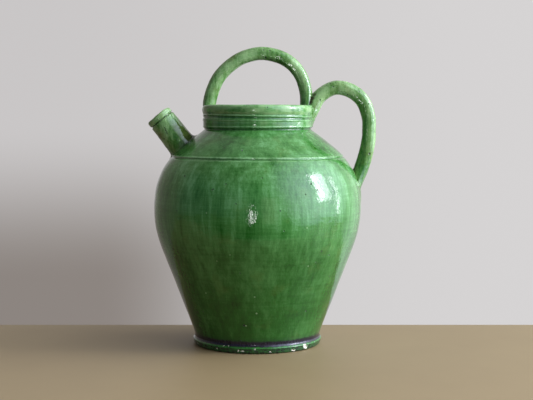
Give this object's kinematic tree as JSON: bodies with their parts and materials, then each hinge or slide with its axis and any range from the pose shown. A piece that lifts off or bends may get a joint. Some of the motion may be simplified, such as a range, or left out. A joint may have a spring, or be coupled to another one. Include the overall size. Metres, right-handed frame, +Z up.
{
  "type": "ceramic pitcher",
  "caption": "Glazed earthenware pitcher with a turned neck, a tube spout, a basket handle over the mouth and a loop handle behind.",
  "frame": {"origin": "centre of the underside of the foot, on the axis the pot was thrown about", "axes": "+Z up along the throwing axis, -X towards the spout, +X towards the loop handle, +Y to the left of someone looking along +X"},
  "size_m": [0.216, 0.1972, 0.2818],
  "materials": {
    "body_glaze": "glossy",
    "handle_glaze": "glossy",
    "pooled_glaze": "glossy"
  },
  "bodies": {
    "root": {"thrown_body": "body_glaze", "spout": "handle_glaze", "basket_handle": "handle_glaze", "loop_handle": "handle_glaze", "spout_joint_coil": "pooled_glaze", "basket_handle_wad": "handle_glaze", "shared_handle_wad": "handle_glaze", "loop_handle_lower_wad": "handle_glaze"}
  },
  "joints": []
}
